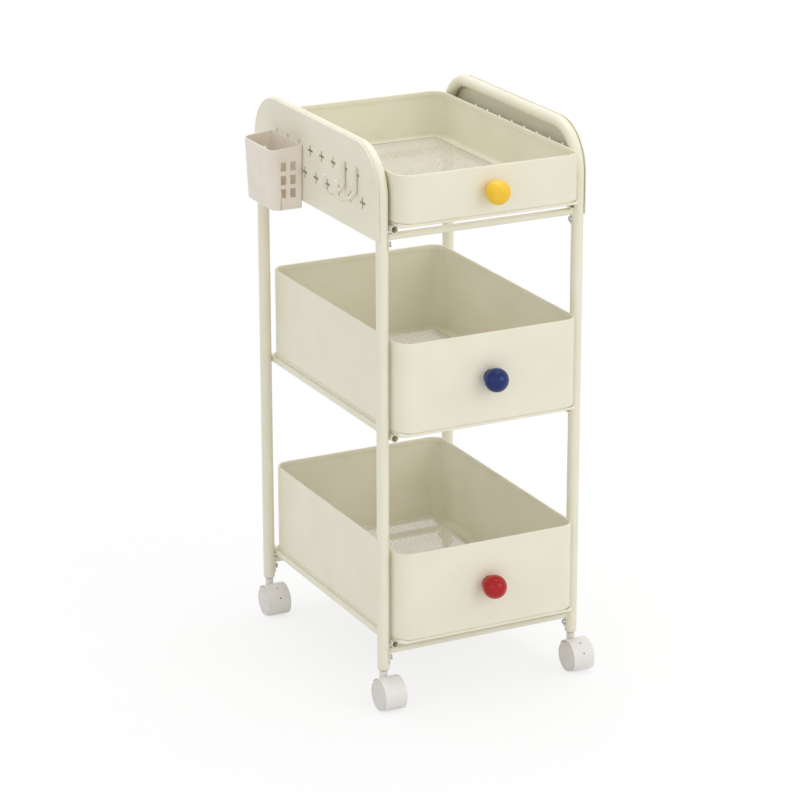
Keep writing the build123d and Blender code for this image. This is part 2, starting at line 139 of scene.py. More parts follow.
def makeLights(settings):
    for number, (place, aim, size, power, colour) in enumerate(settings["lamps"]):
        data = bpy.data.lights.new(f"softLamp{number}", "AREA")
        data.shape = "DISK"
        data.size = size
        data.energy = power
        data.color = hexColour(colour)[:3]
        lamp = bpy.data.objects.new(f"softLamp{number}", data)
        lamp.location = place
        lamp.rotation_euler = (Vector(aim) - Vector(place)).to_track_quat("-Z", "Y").to_euler()
        bpy.context.scene.collection.objects.link(lamp)

    # the world lights softly, and shows plain white to the camera and in gloss
    world = bpy.data.worlds.new("studioWorld")
    world.use_nodes = True
    tree = world.node_tree
    tree.nodes.clear()
    seen = seenRays(tree)
    soft = addNode(tree, "ShaderNodeBackground",
                   {"Color": hexColour("#FFFFFF"), "Strength": settings["worldStrength"]})
    white = addNode(tree, "ShaderNodeBackground", {"Color": hexColour("#FFFFFF"), "Strength": 1.0})
    mix = addNode(tree, "ShaderNodeMixShader", links={"Fac": seen})
    tree.links.new(soft.outputs[0], mix.inputs[1])
    tree.links.new(white.outputs[0], mix.inputs[2])
    addNode(tree, "ShaderNodeOutputWorld", links={"Surface": mix.outputs[0]})
    bpy.context.scene.world = world


makeLights(lightSettings)
bpy.context.scene.view_settings.view_transform = "Standard"
print("camera and lights made")


# Materials

def newMaterial(name):
    material = bpy.data.materials.new(name)
    material.use_nodes = True
    tree = material.node_tree
    tree.nodes.clear()
    shader = addNode(tree, "ShaderNodeBsdfPrincipled")
    addNode(tree, "ShaderNodeOutputMaterial", links={"Surface": shader.outputs[0]})
    place = addNode(tree, "ShaderNodeTexCoord").outputs["Object"]
    return material, tree, shader, place


def perMetre(size):
    # a noise scale whose cells are this many millimetres across
    return 1.0 / (size * mm)


def noiseField(tree, place, size, detail=2.0):
    settings = {"Scale": perMetre(size), "Detail": detail}
    return addNode(tree, "ShaderNodeTexNoise", settings, {"Vector": place}).outputs["Fac"]


def mixColours(tree, factor, first, second):
    mix = addNode(tree, "ShaderNodeMix", {"data_type": "RGBA"})
    tree.links.new(factor, mix.inputs[0])
    mix.inputs[6].default_value = hexColour(first)
    mix.inputs[7].default_value = hexColour(second)
    return mix.outputs[2]


def remap(tree, value, low, high, newLow, newHigh):
    settings = {"From Min": low, "From Max": high, "To Min": newLow, "To Max": newHigh}
    return addNode(tree, "ShaderNodeMapRange", settings, {"Value": value}).outputs[0]


noiseLow, noiseHigh = 0.3, 0.7               # nearly all of a noise's values lie between these


def spread(tree, noise, newLow, newHigh):
    return remap(tree, noise, noiseLow, noiseHigh, newLow, newHigh)


def addBump(tree, shader, height, strength, depth):
    # a bump of this depth in millimetres, on the shader's normal
    bump = addNode(tree, "ShaderNodeBump", {"Strength": strength, "Distance": depth * mm},
                   {"Height": height})
    tree.links.new(bump.outputs[0], shader.inputs["Normal"])


def powderCoat(name, settings):
    # Powder coat: sprayed dry on steel and baked, so it has a faint orange peel and an even satin
    # gloss, a touch deeper in colour where it lies thicker.
    material, tree, shader, place = newMaterial(name)
    patches = spread(tree, noiseField(tree, place, settings["patchSize"], 3.0), 0, 1)
    colour = mixColours(tree, patches, settings["deep"], settings["pale"])
    tree.links.new(colour, shader.inputs["Base Color"])
    gloss = spread(tree, noiseField(tree, place, settings["glossSize"]),
                   settings["roughness"] - 0.03, settings["roughness"] + 0.04)
    tree.links.new(gloss, shader.inputs["Roughness"])
    shader.inputs["IOR"].default_value = 1.5
    peel = noiseField(tree, place, settings["peelSize"], 1.0)
    addBump(tree, shader, peel, settings["peelStrength"], 0.05)
    return material


coatSettings = {
    "deep": "#EAE6D0", "pale": "#EFEBD8",
    "patchSize": 60.0, "glossSize": 9.0, "roughness": 0.36,
    "peelSize": 1.4, "peelStrength": 0.35,   # orange peel about 1.4 mm across
}
meshCoatSettings = dict(coatSettings, deep="#E0D9C8", pale="#E6E0D0", roughness=0.45)


def mouldedPlastic(name, settings):
    # Polypropylene, injection moulded in a fine spark-eroded tool: an even, slightly waxy matt
    # skin with a grain of a fraction of a millimetre, drawn a little coarser here so it shows.
    material, tree, shader, place = newMaterial(name)
    patches = spread(tree, noiseField(tree, place, settings["patchSize"], 2.0), 0, 1)
    colour = mixColours(tree, patches, settings["deep"], settings["pale"])
    tree.links.new(colour, shader.inputs["Base Color"])
    grain = noiseField(tree, place, settings["grainSize"], 2.0)
    gloss = spread(tree, grain, settings["roughness"] - 0.04, settings["roughness"] + 0.05)
    tree.links.new(gloss, shader.inputs["Roughness"])
    shader.inputs["IOR"].default_value = 1.49
    addBump(tree, shader, grain, settings["grainStrength"], 0.03)
    return material


cupPlastic = {"deep": "#ECE1D3", "pale": "#F1E8DB", "patchSize": 30.0,
              "grainSize": 0.6, "grainStrength": 0.3, "roughness": 0.42}
hookPlastic = dict(cupPlastic, deep="#E6DFCF", pale="#EBE5D7")
casterPlastic = {"deep": "#E9E6E1", "pale": "#EFECE8", "patchSize": 18.0,
                 "grainSize": 0.5, "grainStrength": 0.3, "roughness": 0.40}
wheelPlastic = dict(casterPlastic, deep="#DFDBD5", pale="#E5E2DC", roughness=0.38)
socketPlastic = dict(casterPlastic, deep="#E2DDD0", pale="#E8E4D8")
# painted shade: dark grey colour for flat discs that stand in for the shade inside the shields' pin
# holes
pinHoleShadeColour = dict(casterPlastic, deep="#8C887F", pale="#9A968C")


def mouldedKnob(name, settings):
    # ABS, moulded in a polished tool: a deep even colour under a smooth skin, with a faint
    # flow variation, and a low index that keeps the reflections of the white studio faint.
    material, tree, shader, place = newMaterial(name)
    flow = spread(tree, noiseField(tree, place, 14.0, 2.0), 0, 1)
    colour = mixColours(tree, flow, settings["deep"], settings["pale"])
    tree.links.new(colour, shader.inputs["Base Color"])
    haze = spread(tree, noiseField(tree, place, 3.0, 2.0),
                  settings["roughness"] - 0.02, settings["roughness"] + 0.03)
    tree.links.new(haze, shader.inputs["Roughness"])
    shader.inputs["IOR"].default_value = settings["index"]
    addBump(tree, shader, noiseField(tree, place, 5.0, 1.0), 0.15, 0.1)
    return material


knobFinishes = {
    "top": {"name": "yellowAbs", "deep": "#F2C126", "pale": "#F7CC3A", "roughness": 0.42,
            "index": 1.46, "slot": "yellow_knob"},
    "middle": {"name": "blueAbs", "deep": "#0A2462", "pale": "#0F2B6C", "roughness": 0.14,
               "index": 1.38, "slot": "blue_knob"},
    "bottom": {"name": "redAbs", "deep": "#A8090F", "pale": "#B31317", "roughness": 0.14,
               "index": 1.38, "slot": "red_knob"},
}


def zincPlate(name):
    # Zinc-plated steel, barrel plated and passivated: a cool grey metal, finely scuffed by
    # tumbling, so its gloss varies over a millimetre or so.
    material, tree, shader, place = newMaterial(name)
    scuffs = noiseField(tree, place, 1.2, 4.0)
    colour = mixColours(tree, spread(tree, scuffs, 0, 1), "#A9ABAE", "#C6C8CA")
    tree.links.new(colour, shader.inputs["Base Color"])
    shader.inputs["Metallic"].default_value = 1.0
    tree.links.new(spread(tree, scuffs, 0.24, 0.42), shader.inputs["Roughness"])
    addBump(tree, shader, scuffs, 0.2, 0.02)
    return material


materials = {
    "coat": powderCoat("powderCoatCream", coatSettings),
    "meshCoat": powderCoat("powderCoatMesh", meshCoatSettings),
    "cup": mouldedPlastic("polypropyleneCup", cupPlastic),
    "hook": mouldedPlastic("polypropyleneHook", hookPlastic),
    "caster": mouldedPlastic("nylonCasterBody", casterPlastic),
    "wheel": mouldedPlastic("nylonWheel", wheelPlastic),
    "socket": mouldedPlastic("polypropylenePlug", socketPlastic),
    # painted shade for the pin holes, drawn with the moulded plastic's shader
    "dimple": mouldedPlastic("shadedPinHole", pinHoleShadeColour),
    "zinc": zincPlate("zincPlatedSteel"),
}
for finish in knobFinishes.values():
    materials[finish["name"]] = mouldedKnob(finish["name"], finish)
print("materials made:", len(materials))


# Surfaces: every new piece is one or more grids of points, rows by columns

def gridQuads(rows, columns, wrapRows, wrapColumns):
    # corner indices of every cell of a grid, joined round where it wraps
    i, j = np.meshgrid(np.arange(rows if wrapRows else rows - 1),
                       np.arange(columns if wrapColumns else columns - 1), indexing="ij")
    nextI, nextJ = (i + 1) % rows, (j + 1) % columns
    corners = [i * columns + j, nextI * columns + j, nextI * columns + nextJ, i * columns + nextJ]
    return np.stack(corners, axis=-1).reshape(-1, 4)


def makePiece(name, shells, body, material, replaced=(), sharpAngle=38.0):
    # shells: (points, wrapRows, wrapColumns, capped). A capped shell has its first and last
    # rows filled. Doubles are merged and normals turned outwards before it becomes a piece.
    vertices, faces, start = [], [], 0
    for points, wrapRows, wrapColumns, capped in shells:
        rows, columns = points.shape[:2]
        quads = gridQuads(rows, columns, wrapRows, wrapColumns) + start
        faces.extend(quads.tolist())
        if capped:
            faces.append(list(range(start, start + columns)))
            faces.append(list(range(start + (rows - 1) * columns, start + rows * columns)))
        vertices.append(points.reshape(-1, 3))
        start += rows * columns
    mesh = bpy.data.meshes.new(name)
    mesh.from_pydata(np.concatenate(vertices).tolist(), [], faces)
    return finishPiece(name, mesh, body, material, replaced, sharpAngle)


def finishPiece(name, mesh, body, material, replaced, sharpAngle=38.0):
    work = bmesh.new()
    work.from_mesh(mesh)
    bmesh.ops.remove_doubles(work, verts=work.verts, dist=mergeDistance)
    bmesh.ops.recalc_face_normals(work, faces=work.faces)
    work.to_mesh(mesh)
    work.free()
    mesh.polygons.foreach_set("use_smooth", np.ones(len(mesh.polygons), dtype=bool))
    mesh.set_sharp_from_angle(angle=radians(sharpAngle))
    mesh.materials.append(materials[material])
    piece = bpy.data.objects.new(name, mesh)
    bpy.context.scene.collection.objects.link(piece)
    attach(piece, body)
    if replaced:
        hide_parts(*replaced)
    return piece


def arc(centre, radius, startAngle, endAngle, steps):
    # points at radius from the centre, at even angles from start to end, in degrees
    angles = np.radians(np.linspace(startAngle, endAngle, steps + 1))
    across, up = centre[0] + radius * np.cos(angles), centre[1] + radius * np.sin(angles)
    return np.stack([across, up], axis=1)


def cornerOutline(halfX, halfY, radii, cornerSteps):
    # a rectangle with round corners: each point is its corner's centre plus radius times a
    # unit direction, and the four corners turn a quarter circle each, from the +X+Y one
    turn = np.linspace(0, pi / 2, cornerSteps + 1)
    angles = np.concatenate([turn + k * pi / 2 for k in range(4)])
    radii = np.repeat(np.array(radii, float), cornerSteps + 1)
    signs = np.repeat([[1, 1], [-1, 1], [-1, -1], [1, -1]], cornerSteps + 1, axis=0)
    centres = signs * np.stack([halfX - radii, halfY - radii], axis=1)
    return centres, radii, np.stack([np.cos(angles), np.sin(angles)], axis=1)


def carriedRound(profile, outline, centre):
    # a profile of (inset, height) pairs carried round an outline: a point is the outline's,
    # moved inwards by the inset and up by the height
    centres, radii, directions = outline
    reach = (radii[:, None] - profile[None, :, 0])[..., None]
    flat = centres[:, None] + reach * directions[:, None]
    heights = np.broadcast_to(profile[None, :, 1:2], flat.shape[:2] + (1,))
    return np.concatenate([flat, heights], axis=2) + np.array(centre)


def revolved(profile, steps, origin, axis):
    # a profile of (radius, height) pairs turned round an axis: across is radius times the
    # cosine and sine of the turn, along is the height
    axis = Vector(axis).normalized()
    across = axis.orthogonal().normalized()
    other = axis.cross(across)
    turn = np.linspace(0, 2 * pi, steps, endpoint=False)
    ring = np.cos(turn)[:, None] * np.array(across) + np.sin(turn)[:, None] * np.array(other)
    return (np.array(origin) + profile[:, None, 0:1] * ring[None]
            + profile[:, None, 1:2] * np.array(axis))


# Bins: sheet steel, with a rolled rim, a bent lower edge and a flange round the open floor

tubSettings = {
    "cornerRadius": 22.0, "wall": 1.0, "bend": 2.5,
    "rimWidth": 2.6, "rimHeight": 7.0, "flange": 14.0, "cornerSteps": 14,
    "lip": 0.35, "edgeRound": 0.3,           # the rolled rim's lower lip, the flange's cut edge
}


def tubProfile(height, s):
    # closed outline of the sheet's section: inset from the outer face, height above the flange
    wall, bend, rim, lip = s["wall"], s["bend"], s["rimWidth"], s["lip"]
    flange, edge = s["flange"], s["edgeRound"]
    return np.concatenate([
        arc((bend, bend), bend, 180, 270, 5),
        [[flange - edge, 0.0], [flange, edge], [flange, wall - edge], [flange - edge, wall]],
        arc((bend, bend), bend - wall, 270, 180, 4),
        [[wall, height - s["rimHeight"] - 0.4]],
        arc((rim - lip, height - s["rimHeight"]), lip, 270, 360, 3),
        arc((rim / 2, height - rim / 2), rim / 2, 0, 180, 8),
    ])


def makeTub(tier, s):
    low, high = boxOf(f"{tier}_bin_tub")
    half = (high - low) / 2 / mm
    centre = np.array([(low[0] + high[0]) / 2, (low[1] + high[1]) / 2, low[2]])
    outline = cornerOutline(half[0], half[1], [s["cornerRadius"]] * 4, s["cornerSteps"])
    points = carriedRound(tubProfile((high[2] - low[2]) / mm, s), outline, (0, 0, 0)) * mm + centre
    makePiece(f"{tier}_tub_sheet", [(points, True, True, False)], f"{tier}_bin",
              "coat", [f"{tier}_bin_tub"])


for tier in tierNames:
    makeTub(tier, tubSettings)
print("tubs made")


# Mesh floors: expanded sheet, drawn at about twice the real pitch so that it shows

meshSettings = {
    "pitchX": 5.2, "pitchY": 7.8, "hole": 0.72, "thickness": 0.8,
    "edge": 9.0,                             # the mesh ends this far in, under the tub's flange
    "borderInset": 2.0, "borderWidth": 11.0, "borderSteps": 10,
    "drop": 0.02,                            # keeps the mesh off the flange's underside
    "borderDrop": 0.01,
}


def meshSheet(halfX, halfY, s):
    # two staggered grids of diamond cells. Each cell is a frame between its own outline and
    # the same outline drawn in to its centre by the hole's share.
    across, along = int(2 * halfX / s["pitchX"]), int(2 * halfY / s["pitchY"])
    cells = []
    for columns, rows in ((across, along), (across - 1, along - 1)):
        i, j = np.meshgrid(np.arange(columns), np.arange(rows), indexing="ij")
        cells.append(np.stack([2 * i - (columns - 1), 2 * j - (rows - 1)], axis=-1).reshape(-1, 2))
    cells = np.concatenate(cells)
    corners = cells[:, None] + np.array([[1, 0], [0, 1], [-1, 0], [0, -1]])
    shared, index = np.unique(corners.reshape(-1, 2), axis=0, return_inverse=True)
    index = index.reshape(-1, 4)
    holes = cells[:, None] + s["hole"] * (corners - cells[:, None])
    scale = np.array([s["pitchX"] / 2, s["pitchY"] / 2])
    flat = np.concatenate([shared, holes.reshape(-1, 2)]) * scale
    holeIndex = len(shared) + np.arange(len(cells) * 4).reshape(-1, 4)
    following = [1, 2, 3, 0]
    quads = np.stack([index, index[:, following], holeIndex[:, following], holeIndex], axis=-1)
    return flat, quads.reshape(-1, 4)


def makeMeshFloor(tier, s):
    low, high = boxOf(f"{tier}_bin_floor")
    tubLow, tubHigh = boxOf(f"{tier}_bin_tub")
    half = (tubHigh - tubLow)[:2] / 2 / mm - s["edge"]
    centre = (tubLow + tubHigh) / 2
    flat, quads = meshSheet(half[0], half[1], s)
    top = high[2] - s["drop"] * mm
    points = np.column_stack([flat * mm + centre[:2], np.full(len(flat), top)])
    mesh = bpy.data.meshes.new(f"{tier}_mesh_sheet")
    mesh.from_pydata(points.tolist(), [], quads.tolist())
    piece = finishPiece(f"{tier}_mesh_sheet", mesh, f"{tier}_bin", "meshCoat",
                        [f"{tier}_bin_floor"])
    if mesh.polygons[0].normal.z < 0:
        mesh.flip_normals()
    mesh.polygons.foreach_set("use_smooth", np.zeros(len(mesh.polygons), dtype=bool))
    solid = piece.modifiers.new("sheetThickness", "SOLIDIFY")
    solid.thickness = (s["thickness"] - 2 * s["drop"]) * mm
    solid.offset = -1.0

    # the sheet's plain border, under the flange
    outerHalf = (high - low)[:2] / 2 / mm
    radius = tubSettings["cornerRadius"] - s["borderInset"]
    outline = cornerOutline(outerHalf[0], outerHalf[1], [radius] * 4, s["borderSteps"])
    width, thick, drop = s["borderWidth"], s["thickness"], s["borderDrop"]
    profile = np.array([[0, -thick], [width, -thick], [width, -drop], [0, -drop]])
    border = carriedRound(profile, outline, (0, 0, 0)) * mm + np.array([*centre[:2], high[2]])
    makePiece(f"{tier}_mesh_border", [(border, True, True, False)], f"{tier}_bin",
              "meshCoat")


for tier in tierNames:
    makeMeshFloor(tier, meshSettings)
print("mesh floors made")


# Knobs: a ball with a short neck, seated on the bin's front

knobSettings = {
    "diameter": 34.0, "neckDiameter": 22.0, "footFlare": 0.5, "footHeight": 1.0,
    "steps": 64, "ballSteps": 30,
}


def makeKnob(tier, s):
    low, high = boxOf(f"{tier}_knob")
    finish = knobFinishes[tier]
    radius, neck = s["diameter"] / 2, s["neckDiameter"] / 2
    length = (high[1] - low[1]) / mm
    ballHeight = length - radius
    startAngle = degrees(-asin(sqrt(radius ** 2 - neck ** 2) / radius))
    foot = neck + s["footFlare"]
    profile = np.concatenate([
        [[0, 0], [foot, 0], [foot, s["footHeight"] / 2], [neck, s["footHeight"]]],
        arc((0, ballHeight), radius, startAngle, 90, s["ballSteps"]),
    ])
    origin = ((low[0] + high[0]) / 2, high[1], (low[2] + high[2]) / 2)
    points = revolved(profile * mm, s["steps"], origin, (0, -1, 0))
    makePiece(f"{tier}_ball_knob", [(points, False, True, False)], f"{tier}_bin",
              finish["name"], [f"{tier}_knob"])


for tier in tierNames:
    makeKnob(tier, knobSettings)
print("knobs made")


# Pen cup: a thin moulded wall, drawn in towards its foot, with windows in its end walls

cupSettings = {
    "height": 87.0, "backRise": 4.0, "taper": 3.0, "wall": 1.8,
    "outerRadius": 13.0, "backRadius": 3.0, "footRound": 2.4, "footSteps": 5,
    "windowWidth": 8.5, "windowHeight": 13.5, "windowPitchX": 14.6, "windowPitchZ": 19.3,
    "windowShiftX": 2.0, "cornerSteps": 10, "edgeRound": 0.45,
    "backGap": 0.3, "slotPitch": 36.5, "tabWidth": 3.2, "neckHeight": 6.0,
    "tongueDrop": 7.0, "tongueThickness": 2.0, "neckBelowRim": 10.2,
}


def windowEdges(centre, pitch, count, width):
    # both edges of a row of equal windows
    middles = centre + (np.arange(count) - (count - 1) / 2) * pitch
    return np.sort(np.concatenate([middles - width / 2, middles + width / 2]))


def makeCup(s):
    low, high = boxOf("pen_cup")
    backX = (boxOf("left_peg_panel")[0][0] / mm) - s["backGap"]
    frontX = low[0] / mm
    depth, length = backX - frontX, (high[1] - low[1]) / mm
    height = (high[2] - low[2]) / mm
    centre = np.array([(backX + frontX) / 2, (low[1] + high[1]) / 2 / mm])
    radii = [s["backRadius"], s["outerRadius"], s["outerRadius"], s["backRadius"]]
    centres, r, directions = cornerOutline(depth / 2, length / 2, radii, s["cornerSteps"])
    corners = centres + r[:, None] * directions

    # the window edges go in as columns of the two end walls
    columnsX = windowEdges(s["windowShiftX"], s["windowPitchX"], 2, s["windowWidth"])
    per = s["cornerSteps"] + 1
    endUp = np.column_stack([columnsX[::-1], np.full(4, length / 2)])
    endDown = np.column_stack([columnsX, np.full(4, -length / 2)])
    base = np.concatenate([corners[:per], endUp, corners[per:3 * per], endDown, corners[3 * per:]])
    normals = np.concatenate([directions[:per], np.tile([0.0, 1.0], (4, 1)),
                              directions[per:3 * per], np.tile([0.0, -1.0], (4, 1)),
                              directions[3 * per:]])
    lean = np.column_stack([np.where(base[:, 0] < columnsX[0], 1.0, 0.0), -np.sign(base[:, 1])])

    rowsZ = windowEdges(s["height"] / 2, s["windowPitchZ"], 3, s["windowHeight"])
    foot, footRound = s["footSteps"], s["footRound"]
    turn = np.linspace(0, pi / 2, foot)
    levels = np.concatenate([footRound * (1 - np.cos(turn)), rowsZ, [height]])
    inset = np.concatenate([footRound * (1 - np.sin(turn)), np.zeros(len(rowsZ) + 1)])
    wall = s["wall"]
    skins = []
    for thickness in (0.0, wall):
        # the inner skin lies one wall's thickness inside the outer one
        up = levels.copy()
        up[:foot] += thickness
        drawn = inset + thickness
        flat = (base[None] - drawn[:, None, None] * normals[None]
                + (s["taper"] * (1 - levels / height))[:, None, None] * lean[None] + centre)
        heights = np.broadcast_to(up[:, None], flat.shape[:2]).copy()
        # the rim rises evenly from the free side to the panel
        heights[-1] = s["height"] + s["backRise"] * (flat[-1, :, 0] - frontX) / depth
        skins.append(np.dstack([flat, heights]) * mm + np.array([0, 0, low[2]]))

    # leave out the cells that are windows, and close their edges between the skins
    rows, columns = skins[0].shape[:2]
    count = rows * columns
    cells = gridQuads(rows, columns, False, True).reshape(rows - 1, columns, 4)
    openCells = np.zeros((rows - 1, columns), dtype=bool)
    for row in (foot, foot + 2, foot + 4):
        for column in (per, per + 2, 3 * per + 4, 3 * per + 6):
            openCells[row, column] = True
    faces = cells[~openCells].tolist() + (cells[~openCells] + count)[:, ::-1].tolist()
    faces += [list(range(columns)), list(range(count, count + columns))]
    top = np.arange(columns) + count - columns
    following = np.roll(top, -1)
    faces += np.stack([top, following, following + count, top + count], axis=1).tolist()
    for cell in cells[openCells]:
        for first, second in zip(cell, np.roll(cell, -1)):
            faces.append([first, second, second + count, first + count])
    mesh = bpy.data.meshes.new("cup_moulding")
    mesh.from_pydata(np.concatenate(skins).reshape(-1, 3).tolist(), [],
                     [[int(v) for v in face] for face in faces])
    piece = finishPiece("cup_moulding", mesh, "hung_pen_cup", "cup", ["pen_cup"])
    soften(piece, s["edgeRound"])

    neckTop = height + low[2] / mm - s["neckBelowRim"] + s["neckHeight"]
    for name, side in (("front", -1), ("rear", 1)):
        hangingTab(f"cup_{name}_tab", backX, centre[1] + side * s["slotPitch"], neckTop, s,
                   "hung_pen_cup", "cup")


def soften(piece, width, segments=2):
    bevel = piece.modifiers.new("softEdge", "BEVEL")
    bevel.width = width * mm
    bevel.segments = segments
    bevel.limit_method = "ANGLE"
    bevel.angle_limit = radians(40)
    bevel.harden_normals = True


def boxShell(low, high):
    # four upright edges from low to high, both ends filled
    ring = np.array([[low[0], low[1]], [high[0], low[1]], [high[0], high[1]], [low[0], high[1]]])
    return np.stack([np.column_stack([ring, np.full(4, z)]) for z in (low[2], high[2])])


tabSettings = {
    "intoBack": 0.5,                         # how far the neck starts inside the piece it holds
    "inset": 0.1, "topStep": 0.05,           # the neck and tongue never share a face
    "edgeRound": 0.25,
}


def hangingTab(name, backX, y, neckTop, s, body, material):
    # a neck through the panel's slot, and a tongue that drops behind the sheet
    t = tabSettings
    sheet = boxOf("left_peg_panel")
    tongueX = sheet[1][0] / mm + s["backGap"]
    half = s["tabWidth"] / 2
    endX = tongueX + s["tongueThickness"]
    neckBottom = neckTop - s["neckHeight"]
    neck = boxShell((backX - t["intoBack"], y - half, neckBottom),
                    (endX - t["inset"], y + half, neckTop))
    tongue = boxShell((tongueX, y - half, neckBottom - s["tongueDrop"]),
                      (endX, y + half, neckTop - t["topStep"]))
    piece = makePiece(name, [(neck * mm, False, True, True), (tongue * mm, False, True, True)],
                      body, material)
    soften(piece, t["edgeRound"])


makeCup(cupSettings)
print("pen cup made")


# Hooks: a flat strip that turns out into a J, with rounded ends

hookSettings = {
    "width": 8.0, "thickness": 3.6, "throat": 12.8, "plateLength": 27.5, "tipHeight": 12.0,
    "edgeRound": 1.5, "backGap": 0.3, "tabWidth": 3.0, "neckHeight": 6.0, "tongueDrop": 7.0,
    "tongueThickness": 2.0, "neckBelowTop": 17.7, "arcSteps": 22,
    "endRows": 6, "bendGap": 0.5,            # rows in a rounded end, and the gap before the bend
}


def roundedStrip(width, thickness, radius, steps):
    # outline of a flat strip's section with round edges, across the strip and through it
    centres, radii, directions = cornerOutline(width / 2, thickness / 2, [radius] * 4, steps)
    return centres + radii[:, None] * directions


def makeHook(node, s):
    low, high = boxOf(node)
    backX = boxOf("left_peg_panel")[0][0] / mm - s["backGap"]
    middleY, top = (low[1] + high[1]) / 2 / mm, high[2] / mm
    half = s["thickness"] / 2
    ringRadius = s["throat"] + half
    throatX, throatZ = backX - 2 * half - s["throat"], top - s["plateLength"]
    tipZ = throatZ + s["tipHeight"] + half

    # the path: down the plate, half round the throat, up to the tip; its normal faces the
    # throat, and its rows lie close together where the ends round off
    ease = half * (1 - np.cos(np.linspace(0, pi / 2, s["endRows"])))
    rows, gapZ = s["endRows"] + 1, throatZ + s["bendGap"]
    plate = np.column_stack([np.full(rows, backX - half), [*(top - ease), gapZ]])
    bend = arc((throatX, throatZ), ringRadius, 0, -180, s["arcSteps"])
    tip = np.column_stack([np.full(rows, throatX - ringRadius), [gapZ, *(tipZ - ease[::-1])]])
    path = np.concatenate([plate, bend, tip])
    normals = np.concatenate([np.tile([-1.0, 0.0], (rows, 1)),
                              (np.array([throatX, throatZ]) - bend) / ringRadius,
                              np.tile([1.0, 0.0], (rows, 1))])
    fromEnd = np.minimum(np.abs(path[:, 1] - top), half)
    fromEnd[len(plate) + 1:] = half
    fromEnd[-rows:] = np.minimum(tipZ - path[-rows:, 1], half)
    shrink = np.sqrt(np.clip(1 - (1 - fromEnd / half) ** 2, 0.02, 1))
    section = roundedStrip(s["width"], s["thickness"], s["edgeRound"], 4)
    across = section[None, :, 0] * (1 - (1 - shrink[:, None]) * half / (s["width"] / 2))
    through = section[None, :, 1] * shrink[:, None]
    points = np.stack([path[:, None, 0] + through * normals[:, None, 0], middleY + across,
                       path[:, None, 1] + through * normals[:, None, 1]], axis=-1)
    body = f"hung_{node}"
    makePiece(f"{node}_moulding", [(points * mm, False, True, True)], body, "hook",
              [node], sharpAngle=60)
    hangingTab(f"{node}_tab", backX, middleY, top - s["neckBelowTop"] + s["neckHeight"], s, body,
               "hook")


for node in ("front_hook", "rear_hook"):
    makeHook(node, hookSettings)
print("hooks made")


# Casters: a shield over two wheels, a web between them and a boss that takes the stem

casterSettings = {
    "wheelRadius": 22.0, "wheelWidth": 10.5, "treadRound": 1.6, "innerRound": 1.0,
    "faceGroove": 18.3, "grooveWidth": 0.5, "grooveDepth": 0.5, "faceDish": 0.4,
    "boreRadius": 2.55, "boreDepth": 7.8,
    "shieldGap": 0.7, "shieldThickness": 1.5, "shieldHalfWidth": 16.5, "shieldEdge": 0.6,
    "trail": 18.0, "floorGap": 5.0, "webHalfWidth": 6.5, "webRadius": 18.5, "webRearAngle": 34.0,
    "bossRadius": 5.7, "bossBottom": 29.0, "bossTop": 50.4, "stemBore": 4.06, "boreBottom": 30.7,
    "webBore": 2.52, "webInner": 4.0, "webOverlap": 0.3, "webEdge": 0.6, "bossEdge": 0.6,
    "bossFoot": 0.5, "dimpleAngles": (27.0, 66.0), "dimpleRadius": 1.35,
    "dimpleDepth": 0.4, "dimpleStep": 0.06, "plainCorner": "front_left",
    "shieldSteps": 48, "webSteps": 24, "bossSteps": 40, "pinSteps": 20, "wheelSteps": 72,
}


def turnedAbout(section, angles, axle):
    # a closed (radius, x) section turned about the axle, which runs along X: y is minus the
    # radius times the sine of the angle, z the radius times its cosine, and 0 is upright
    a = np.radians(angles)[:, None]
    radius, x = section[None, :, 0], section[None, :, 1]
    y, z = axle[1] - radius * np.sin(a), axle[2] + radius * np.cos(a)
    return np.stack([axle[0] + x + 0 * a, y, z], axis=-1)


